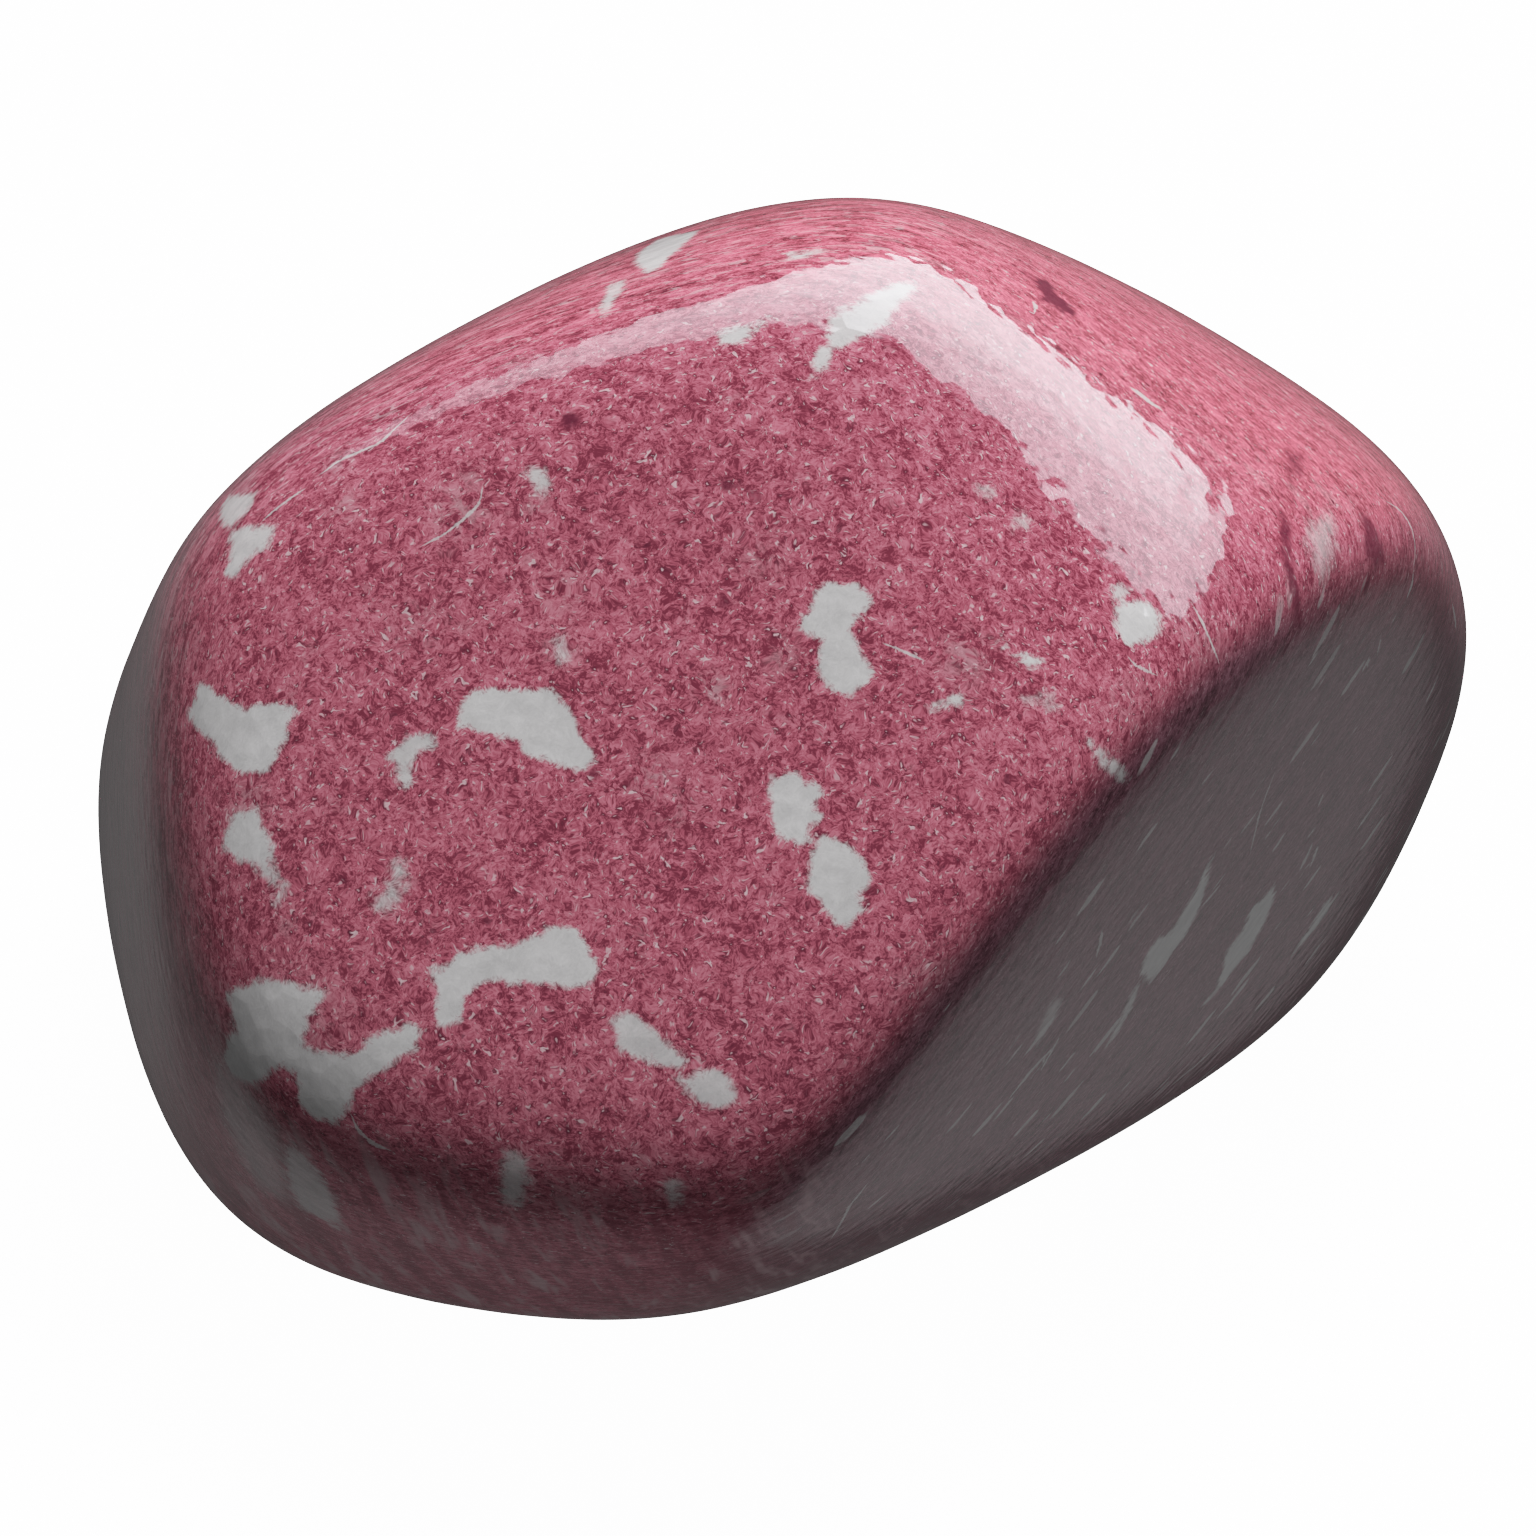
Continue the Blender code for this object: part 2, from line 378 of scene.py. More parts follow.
class Tree:
    """A node tree that is filled by expressions."""

    def __init__(self, nodes_of):
        self.nodes = nodes_of.nodes
        self.links = nodes_of.links

    def place(self, kind, settings=None, sockets=None):
        """Add a node. Its settings are set first, and then the values or links of its sockets."""
        node = self.nodes.new(kind)
        for name, value in (settings or {}).items():
            setattr(node, name, value)
        for key, value in (sockets or {}).items():
            if isinstance(key, int):
                socket = node.inputs[key]
            else:
                socket = next(s for s in node.inputs if s.enabled and s.name == key)
            if isinstance(value, Flow):
                self.links.new(value.socket, socket)
            else:
                socket.default_value = value
        return node

    def flow(self, node, name=None):
        """An output of a node, by name, or else the first that is in use."""
        live = [s for s in node.outputs if s.enabled and name in (None, s.name)]
        return Flow(self, live[0])

    def node(self, kind, settings=None, sockets=None, output=None):
        return self.flow(self.place(kind, settings, sockets), output)

    def math(self, operation, *values):
        return self.node("ShaderNodeMath", {"operation": operation}, dict(enumerate(values)))

    def vector(self, operation, *values):
        return self.node("ShaderNodeVectorMath", {"operation": operation}, dict(enumerate(values)))

    def parts(self, vector):
        """The X, Y and Z of a vector."""
        split = self.place("ShaderNodeSeparateXYZ", None, {0: vector})
        return [self.flow(split, axis) for axis in "XYZ"]

    def scaled(self, vector, factor):
        return self.node(
            "ShaderNodeVectorMath", {"operation": "SCALE"}, {"Vector": vector, "Scale": factor}
        )

    def store(self, geometry, name, value, kind):
        """Keep a value at each point of a mesh, under a name."""
        return self.node(
            "GeometryNodeStoreNamedAttribute",
            {"data_type": kind, "domain": "POINT"},
            {"Geometry": geometry, "Name": name, "Value": value},
        )

    def stored(self, name, kind):
        return self.node("GeometryNodeInputNamedAttribute", {"data_type": kind}, {"Name": name})

    def step(self, value, low, high):
        """0 below low and 1 above high, with a soft step between them."""
        return self.node(
            "ShaderNodeMapRange",
            {"interpolation_type": "SMOOTHSTEP"},
            {"Value": value, "From Min": low, "From Max": high, "To Min": 0.0, "To Max": 1.0},
        )

    def blend(self, factor, first, second):
        """The second colour over the first."""
        return self.node(
            "ShaderNodeMix",
            {"data_type": "RGBA", "clamp_factor": True},
            {"Factor": factor, "A": first, "B": second},
        )

    def noise(self, place, size, detail=1.0, roughness=0.5, seed=0.0, output="Fac"):
        """Smooth noise of about 0 to 1 in blobs of the given size, in the units of place."""
        moved = self.vector("ADD", place, (seed * 13.7, seed * 7.9, seed * 3.1))
        return self.node(
            "ShaderNodeTexNoise",
            {"noise_dimensions": "3D"},
            {"Vector": moved, "Scale": 1.0 / size, "Detail": detail, "Roughness": roughness},
            output,
        )


def add_stone_inputs(group):
    """The named sizes of the stone's tree, with their values."""
    sizes = {f"{name} distance": float(distance) for name, _, _, distance, _ in SIDES}
    sizes.update(
        {
            "rest depth": REST_DEPTH,
            "ripple": RIPPLE,
            "ripple length": RIPPLE_LENGTH,
            "seed": SHAPE_SEED,
        }
    )
    face = group.interface
    face.new_socket(name="stone", in_out="OUTPUT", socket_type="NodeSocketGeometry")
    values = {}
    cells = face.new_socket(name="cells", in_out="INPUT", socket_type="NodeSocketInt")
    values[cells.identifier] = CELLS
    for name, value in sizes.items():
        item = face.new_socket(name=name, in_out="INPUT", socket_type="NodeSocketFloat")
        values[item.identifier] = value
    return values


def stone_tree(material):
    """A ball pushed out until it meets the worn sides, rippled, and ground flat where it rests."""
    group = bpy.data.node_groups.new("worn pebble", "GeometryNodeTree")
    values = add_stone_inputs(group)
    tree = Tree(group)
    entry = tree.place("NodeGroupInput")
    size = {socket.name: Flow(tree, socket) for socket in entry.outputs if socket.name}
    corners = size["cells"] + 1.0

    ball = tree.node(
        "GeometryNodeMeshCube",
        None,
        {"Size": (2.0, 2.0, 2.0), "Vertices X": corners, "Vertices Y": corners, "Vertices Z": corners},
        "Mesh",
    )
    place = tree.node("GeometryNodeInputPosition")
    spread = tree.vector("TANGENT", tree.scaled(place, math.pi / 4))
    ball = tree.store(ball, "outward", tree.vector("NORMALIZE", spread), "FLOAT_VECTOR")
    ball = tree.store(ball, "reach", SEARCH_START, "FLOAT")
    outward = tree.stored("outward", "FLOAT_VECTOR")
    reach = tree.stored("reach", "FLOAT")

    # Each round of the search moves the reach to where the sides' pressures add up to one.
    first = tree.place("GeometryNodeRepeatInput")
    last = tree.place("GeometryNodeRepeatOutput")
    first.pair_with_output(last)
    first.inputs["Iterations"].default_value = SEARCH_STEPS
    tree.links.new(ball.socket, first.inputs["Geometry"])
    total, growth = 0.0, 0.0
    for name, azimuth, elevation, _, softness in SIDES:
        slope = tree.vector("DOT_PRODUCT", outward, tuple(facing(azimuth, elevation)))
        pressure = ((slope * reach - size[f"{name} distance"]) / softness).math("EXPONENT")
        total = pressure + total
        growth = pressure * slope / softness + growth
    nearer = reach - total.math("LOGARITHM", math.e) * total / growth
    searched = tree.store(tree.flow(first, "Geometry"), "reach", nearer, "FLOAT")
    tree.links.new(searched.socket, last.inputs["Geometry"])
    stone = tree.flow(last, "Geometry")

    surface = tree.scaled(outward, reach)
    stone = tree.node("GeometryNodeSetPosition", None, {"Geometry": stone, "Position": surface})
    dip = tree.node(
        "ShaderNodeTexNoise",
        {"noise_dimensions": "4D"},
        {"Vector": place, "W": size["seed"], "Scale": 1.0 / size["ripple length"], "Roughness": 0.45},
        "Fac",
    )
    inward = tree.scaled(tree.node("GeometryNodeInputNormal"), -dip * size["ripple"])
    stone = tree.node("GeometryNodeSetPosition", None, {"Geometry": stone, "Offset": inward})

    across, along, height = tree.parts(place)
    floor = height.math("MAXIMUM", -size["rest depth"])
    ground = tree.node("ShaderNodeCombineXYZ", None, {"X": across, "Y": along, "Z": floor})
    stone = tree.node("GeometryNodeSetPosition", None, {"Geometry": stone, "Position": ground})
    stone = tree.node(
        "GeometryNodeTransform",
        None,
        {"Geometry": stone, "Translation": tuple(MIDDLE * MM), "Scale": (MM, MM, MM)},
    )
    for name in ("outward", "reach"):
        stone = tree.node("GeometryNodeRemoveAttribute", None, {"Geometry": stone, "Name": name})
    stone = tree.node("GeometryNodeSetShadeSmooth", None, {"Geometry": stone, "Shade Smooth": True})
    stone = tree.node("GeometryNodeRealizeInstances", None, {"Geometry": stone})
    stone = tree.node("GeometryNodeSetMaterial", None, {"Geometry": stone, "Material": material})
    tree.place("NodeGroupOutput", None, {0: stone})
    return group, values


def grow_stone(material):
    """The stone's plain mesh, from its tree."""
    piece = bpy.data.objects.new("thulite_pebble", bpy.data.meshes.new("seed"))
    bpy.context.scene.collection.objects.link(piece)
    group, values = stone_tree(material)
    grown = piece.modifiers.new("worn pebble", "NODES")
    grown.node_group = group
    for identifier, value in values.items():
        grown[identifier] = value
    ready = piece.evaluated_get(bpy.context.evaluated_depsgraph_get())
    mesh = bpy.data.meshes.new_from_object(ready)
    piece.modifiers.clear()
    piece.data = mesh
    mesh.name = "thulite_pebble"
    return piece


def camera_axes():
    """The camera's place in the part's frame in mm, and its right, up and back directions."""
    elevation = math.radians(CAMERA_ELEVATION)
    back = Vector((0.0, -math.cos(elevation), math.sin(elevation)))
    right = Vector((1.0, 0.0, 0.0))
    up = back.cross(right)
    place = MIDDLE + back * CAMERA_DISTANCE + right * CAMERA_MOVE[0] + up * CAMERA_MOVE[1]
    return place, right, up, back


class Skin:
    """The stone's surface: its points and normals in mm, and where a pixel of the picture meets it."""

    def __init__(self, piece):
        self.mesh = piece.data
        self.points = self.read("co") / MM
        self.normals = self.read("normal")
        self.surface = BVHTree.FromObject(piece, bpy.context.evaluated_depsgraph_get())

    def read(self, name):
        values = np.empty(3 * len(self.mesh.vertices))
        self.mesh.vertices.foreach_get(name, values)
        return values.reshape(-1, 3)

    def keep(self, name, values):
        """Keep a number or a vector for each of the stone's points, for its material."""
        kind, field = ("FLOAT", "value") if values.ndim == 1 else ("FLOAT_VECTOR", "vector")
        self.mesh.attributes.new(name, kind, "POINT").data.foreach_set(field, values.ravel())

    def meet(self, pixel):
        """The point in mm that shows at a pixel of the picture, and the surface's normal there."""
        place, right, up, back = camera_axes()
        spread = SENSOR / (LENS * FRAME_PIXELS)
        across = (pixel[0] - FRAME_PIXELS / 2) * spread
        down = (pixel[1] - FRAME_PIXELS / 2) * spread
        ray = (right * across - up * down - back).normalized()
        point, normal, _, _ = self.surface.ray_cast(place * MM, ray)
        return np.array(point) / MM, np.array(normal)

    def lay(self, path, margin):
        """Lay a flat sheet on the stone under a path. Gives the stone's points near the path, their
        places on the sheet in mm, and the path's places on it."""
        met = [self.meet(pixel) for pixel in path]
        corners = np.array([point for point, _ in met])
        middle = corners.mean(axis=0)
        normal = np.mean([normal for _, normal in met], axis=0)
        normal /= np.linalg.norm(normal)
        side = np.cross(normal, (0.0, 0.0, 1.0))
        side /= np.linalg.norm(side)
        axes = np.stack([side, np.cross(normal, side)], axis=1)
        radius = np.linalg.norm(corners - middle, axis=1).max() + margin
        close = np.linalg.norm(self.points - middle, axis=1) < radius
        near = np.flatnonzero(close & (self.normals @ normal > SAME_SIDE))
        return near, (self.points[near] - middle) @ axes, (corners - middle) @ axes


def depth_inside(points, outline):
    """How deep in mm each point lies inside a closed outline, and below zero outside it."""
    gap = np.full(len(points), np.inf)
    inside = np.zeros(len(points), bool)
    for first, second in zip(outline, np.roll(outline, -1, axis=0)):
        edge = second - first
        along = np.clip((points - first) @ edge / (edge @ edge), 0.0, 1.0)
        gap = np.minimum(gap, np.linalg.norm(points - first - along[:, None] * edge, axis=1))
        spans = (first[1] > points[:, 1]) != (second[1] > points[:, 1])
        crossing = first[0] + (points[:, 1] - first[1]) * edge[0] / (edge[1] or 1.0)
        inside ^= spans & (points[:, 0] < crossing)
    return np.where(inside, gap, -gap)


def beside_path(points, path):
    """The distance in mm from each point to a path, above zero on its left, and how far along."""
    lengths = np.linalg.norm(np.diff(path, axis=0), axis=1)
    starts = np.concatenate([[0.0], np.cumsum(lengths)])
    gap = np.full(len(points), np.inf)
    beside = np.zeros(len(points))
    share = np.zeros(len(points))
    last = len(lengths) - 1
    for index, length in enumerate(lengths):
        edge = (path[index + 1] - path[index]) / length
        offset = points - path[index]
        along = offset @ edge
        held = np.clip(along, 0.0, length)
        distance = np.linalg.norm(offset - held[:, None] * edge, axis=1)
        nearer = distance < gap
        gap = np.where(nearer, distance, gap)
        left = edge[0] * offset[:, 1] - edge[1] * offset[:, 0]
        beside = np.where(nearer, np.where(left < 0.0, -distance, distance), beside)
        reached = np.where((along < 0.0) & (index == 0) | (along > length) & (index == last), along, held)
        share = np.where(nearer, (starts[index] + reached) / starts[-1], share)
    return beside, share


def mark_patches(skin):
    """Keep how deep each point lies in a patch, how soft that patch's edge is, and how strong it is."""
    patch = np.zeros((len(skin.points), 3))
    patch[:, 0] = -PATCH_RANGE
    for _, softness, strength, outline in PATCHES:
        near, points, corners = skin.lay(outline, PATCH_RANGE)
        depth = np.clip(depth_inside(points, corners), -PATCH_RANGE, PATCH_RANGE)
        deeper = depth > patch[near, 0]
        patch[near[deeper], 0] = depth[deeper]
        patch[near[deeper], 1] = softness
        patch[near[deeper], 2] = strength
    scatter_hidden_patches(skin, patch)
    skin.keep("patch", patch)


def scatter_hidden_patches(skin, patch):
    """Patches for the sides that the photograph hides: clumps of lenses that lie along the beds."""
    chance = np.random.default_rng(HIDDEN_SEED)
    beds = np.array(facing(BEDDING_AZIMUTH, BEDDING_ELEVATION))
    _, _, _, back = camera_axes()
    towards = skin.normals @ np.array(back)
    hidden = np.flatnonzero(towards < HIDDEN_FACING)
    for _ in range(HIDDEN_PATCHES):
        middle = skin.points[chance.choice(hidden)]
        size = HIDDEN_SIZES[0] + (HIDDEN_SIZES[1] - HIDDEN_SIZES[0]) * chance.random() ** 2.5
        softness, strength = chance.uniform(0.03, 0.12), chance.uniform(0.7, 1.0)
        waves = chance.normal(size=(3, 4)) * 2.4 / size
        uneven = np.sin(skin.points @ waves + chance.uniform(0.0, 6.3, 4)).sum(axis=1) * HIDDEN_UNEVEN
        for _ in range(HIDDEN_LENSES):
            centre = middle + chance.normal(size=3) * size * 0.5
            half = size * chance.uniform(0.3, 0.8)
            offset = skin.points - centre
            through = offset @ beds
            flat = offset - through[:, None] * beds
            squeezed = np.sqrt((flat**2).sum(axis=1) / half**2 + (through * BEDDING_RATIO / half) ** 2)
            depth = np.clip((1.0 + uneven - squeezed) * half * 0.6, -PATCH_RANGE, PATCH_RANGE)
            deeper = (depth > patch[:, 0]) & (towards < HIDDEN_END)
            patch[deeper, 0] = depth[deeper]
            patch[deeper, 1] = softness
            patch[deeper, 2] = strength


def mark_veins(skin):
    """Keep each point's distance beside the nearest vein, the vein's half width there, and its tone."""
    vein = np.zeros((len(skin.points), 3))
    vein[:, 0] = 2.0 * VEIN_RANGE
    closeness = np.zeros(len(skin.points))
    for _, width, tone, path in VEINS:
        near, points, corners = skin.lay(path, VEIN_RANGE)
        beside, share = beside_path(points, corners)
        weight = 1.0 - np.abs(beside) / VEIN_RANGE
        closer = weight > closeness[near]
        chosen = near[closer]
        vein[chosen, 0] = beside[closer]
        vein[chosen, 1] = width * (1.0 - np.abs(2.0 * share[closer] - 1.0) ** 3.0)
        vein[chosen, 2] = tone
        closeness[chosen] = weight[closer]
    skin.keep("vein", vein)
    skin.keep("vein nearness", closeness)


def mark_edgewise(skin):
    """Keep how squarely the surface is cut across the beds: 0 where it lies along them, up to 1."""
    along = np.abs(skin.normals @ np.array(facing(BEDDING_AZIMUTH, BEDDING_ELEVATION)))
    skin.keep("edgewise", np.clip((ALONG_BEDS - along) / EDGEWISE_RANGE, 0.0, 1.0))


def mark_sides(skin):
    """Keep how fully each point belongs to each side whose look differs: two by their grain, one by painted
    shade and one by painted light.
    """
    _, _, up, _ = camera_axes()
    height = (skin.points - np.array(MIDDLE)) @ np.array(up)
    for name, azimuth, elevation, start, full, top in SIDE_LOOKS:
        square = skin.normals @ np.array(facing(azimuth, elevation))
        below = np.clip((top - height) / SIDE_LOOK_FADE, 0.0, 1.0)
        skin.keep(name, np.clip((square - start) / (full - start), 0.0, 1.0) * below)


def mark_hazes(skin):
    """Keep how thickly the pale mineral is scattered around each point."""
    haze = np.zeros(len(skin.points))
    scale = CAMERA_DISTANCE * SENSOR / (LENS * FRAME_PIXELS)
    for pixel, radius, strength in HAZES:
        point, _ = skin.meet(pixel)
        distance = np.linalg.norm(skin.points - point, axis=1)
        haze = np.maximum(haze, strength * np.exp(-((distance / (radius * scale)) ** 2)))
    skin.keep("haze", haze)


def add_camera():
    place, right, up, back = camera_axes()
    data = bpy.data.cameras.new("camera")
    data.lens = LENS
    data.sensor_width = SENSOR
    data.clip_start = 0.01
    camera = bpy.data.objects.new("camera", data)
    turn = Matrix((right, up, back)).transposed().to_4x4()
    camera.matrix_world = Matrix.Translation(place * MM) @ turn
    bpy.context.scene.collection.objects.link(camera)
    bpy.context.scene.camera = camera


# The sizes of what the grain is made of, in mm: clouds, mottling, fine grains, drifts of pale grains,
# streaks, threads, wisps, and the ragged edges of the patches.
CLOUD = 1.7
MOTTLE = 0.36
GRAIN = 0.07
DRIFT = 0.9
STREAK = 1.9
THREAD = 1.6
WISP = 2.8
RAGGED = 0.42

# The swirls that bend the grain: their size and how far they push it, in mm, and their seed.
FELT_SWIRL = (0.45, 0.35, 31.0)
CURL_SWIRL = (0.10, 0.11, 32.0)
STREAK_SWIRL = (1.1, 0.9, 33.0)
WISP_SWIRL = (1.6, 1.0, 34.0)

# The crystals, coarse and fine: the size of their cells, the half length and the half thickness of
# their blades in mm, the share of the cells that hold one, and their seed. Then how a blade's edge
# fades, from outside it to inside it, in mm.
COARSE_CRYSTALS = (0.36, 0.15, 0.034, 0.36, 40.0)
FINE_CRYSTALS = (0.15, 0.08, 0.022, 0.55, 60.0)
BLADE_EDGE = (-0.004, 0.014)

# The pale flakes: how much thinner they are across the beds than the grain is, the size of their cells
# and their half length in mm, the share of the cells that hold one, and their seed.
FLAKE_RATIO = 1.4
FLAKES = (1.7, 0.75, 0.36, 90.0)

# The tones between which the ground turns from wine to pink, and from pink to rose.
WINE_TO_PINK = (0.00, 0.58)
PINK_TO_ROSE = (0.48, 1.10)

# The polish: how rough it is, and how strongly the stone bends light.
ROUGHNESS = 0.06
STONE_IOR = 1.7

# The stone's colours: the wine, the pink and the rose of its grain, its pale blades and specks, the maroon
# of the painted shadow beside them, which also colours the dark slits, veins and patches, the salmon of
# painted light on the side that faces the overhead lamp, the greyed pink of the hazes, the dusk of painted
# shade on the side that faces lower right, the deeper wine of painted shade at that side's edge, and the
# grey-white of the patches.
WINE = (0.250, 0.038, 0.072, 1.0)
PINK = (0.540, 0.128, 0.192, 1.0)
ROSE = (0.740, 0.245, 0.325, 1.0)
PALE = (0.86, 0.62, 0.66, 1.0)
MAROON = (0.150, 0.022, 0.048, 1.0)
SALMON = (0.710, 0.145, 0.200, 1.0)
GREYED = (0.60, 0.36, 0.40, 1.0)
DUSKY = (0.165, 0.084, 0.116, 1.0)
DEEP_WINE = (0.110, 0.026, 0.042, 1.0)
WHITE = (0.73, 0.715, 0.720, 1.0)


def stretched(tree, place, way, ratio):
    """The place in mm, stretched one way, so that what is made there comes out thinner that way."""
    way = tuple(facing(*way))
    through = tree.vector("DOT_PRODUCT", place, way)
    return tree.vector("ADD", place, tree.scaled(way, through * (ratio - 1.0)))


def bedded(tree, place, ratio):
    """The place in mm, stretched across the beds, so that what is made there comes out as lenses."""
    return stretched(tree, place, (BEDDING_AZIMUTH, BEDDING_ELEVATION), ratio)


def bent(tree, place, size, amount, seed):
    """The place in mm, pushed to and fro by swirls of the given size."""
    swirl = tree.noise(place, size, 0.0, 0.5, seed, "Color")
    push = tree.scaled(tree.vector("SUBTRACT", swirl, (0.5, 0.5, 0.5)), amount)
    return tree.vector("ADD", place, push)


def cells(tree, place, size, seed):
    """Cells that fill the stone: the place in mm as they see it, and the cell that is there."""
    moved = tree.vector("ADD", place, (seed, seed, seed))
    return moved, tree.place("ShaderNodeTexVoronoi", None, {"Vector": moved, "Scale": 1.0 / size})


def crystals(tree, place, size, half, thin, share, seed):
    """Grains that fill the stone, each with its own tone, and thin blades that lie in every direction in
    some of them. Gives the tones, the blades where the surface cuts them, and the dark beside them, which is
    painted shadow: a line along one side of each blade and a ring round each speck."""
    moved, cell = cells(tree, place, size, seed)
    middle, lot = tree.flow(cell, "Position"), tree.flow(cell, "Color")
    lie = tree.vector("NORMALIZE", tree.vector("SUBTRACT", lot, (0.5, 0.5, 0.5)))
    offset = tree.vector("SUBTRACT", moved, middle)
    across = tree.vector("DOT_PRODUCT", offset, lie)
    away = tree.vector("LENGTH", offset)
    chance = tree.node("ShaderNodeTexWhiteNoise", None, {"Vector": middle}, "Value")
    chosen = tree.step(chance, 1.0 - share, 1.0 - share * 0.6)
    width = tree.step(half - away, 0.0, half * 0.7) * thin * chosen
    pale = tree.step(width - abs(across), *BLADE_EDGE) * chosen
    # Painted shadow: a dark line along one side of each blade.
    dark = tree.step(width - abs(across - thin * 1.6), *BLADE_EDGE) * chosen

    # A few of the other cells hold a round pale speck with a dark ring of painted shadow.
    speck = tree.step(chance, share * 0.16, share * 0.12)
    pale = pale + tree.step(thin * 1.3 - away, -0.01, 0.012) * speck
    dark = dark + tree.step(thin * 0.8 - abs(away - thin * 2.0), -0.01, 0.012) * speck
    return chance, pale, dark


def dimples(tree, place, size, seed):
    """Grains that the polish leaves faintly hollow: the height in mm above the middle of each."""
    _, cell = cells(tree, place, size, seed)
    return tree.flow(cell, "Distance") * size


def flakes(tree, place, size, half, share, seed):
    """Lenses of the pale mineral and dark slits, one to a cell, in some of the cells."""
    moved, cell = cells(tree, place, size, seed)
    away = tree.vector("LENGTH", tree.vector("SUBTRACT", moved, tree.flow(cell, "Position")))
    chance = tree.node("ShaderNodeTexWhiteNoise", None, {"Vector": tree.flow(cell, "Position")}, "Value")
    reach = half * (chance / share)
    pale = tree.step(reach - away, 0.0, half * 0.2) * tree.step(share - chance, 0.0, 0.01)
    dark = tree.step(half * 0.8 - away, 0.0, half * 0.3) * tree.step(chance, 0.93, 0.94)
    return pale, dark


def attribute(tree, name, output="Fac"):
    """What the stone's points keep under a name."""
    return tree.node("ShaderNodeAttribute", {"attribute_name": name}, None, output)


def patch_cover(tree, place, fine):
    """How fully the pale patches and the dark patches cover the pink, with ragged edges."""
    depth, softness, strength = tree.parts(attribute(tree, "patch", "Vector"))
    ragged = (tree.noise(place, RAGGED, 2.0, 0.7, 21.0) - 0.5) * 0.46 + (fine - 0.5) * 0.22
    depth = depth + ragged * (softness * 6.0 + 0.7)
    cover = tree.step(depth / (softness + 0.045), -1.2, 1.2)
    return cover * strength.math("MAXIMUM", 0.0), cover * (-strength).math("MAXIMUM", 0.0)


def vein_cover(tree, fine, mottle):
    """The pale veins and the dark veins that the photograph shows."""
    beside, width, tone = tree.parts(attribute(tree, "vein", "Vector"))
    near = tree.step(attribute(tree, "vein nearness"), 0.33, 0.4)
    spare = width * (0.55 + fine * 0.9 + (mottle - 0.5) * 3.0) - abs(beside)
    line = tree.step(spare, -0.012, 0.018) * near
    return line * tree.step(tone, 0.4, 0.6), line * tree.step(-tone, 0.4, 0.6)


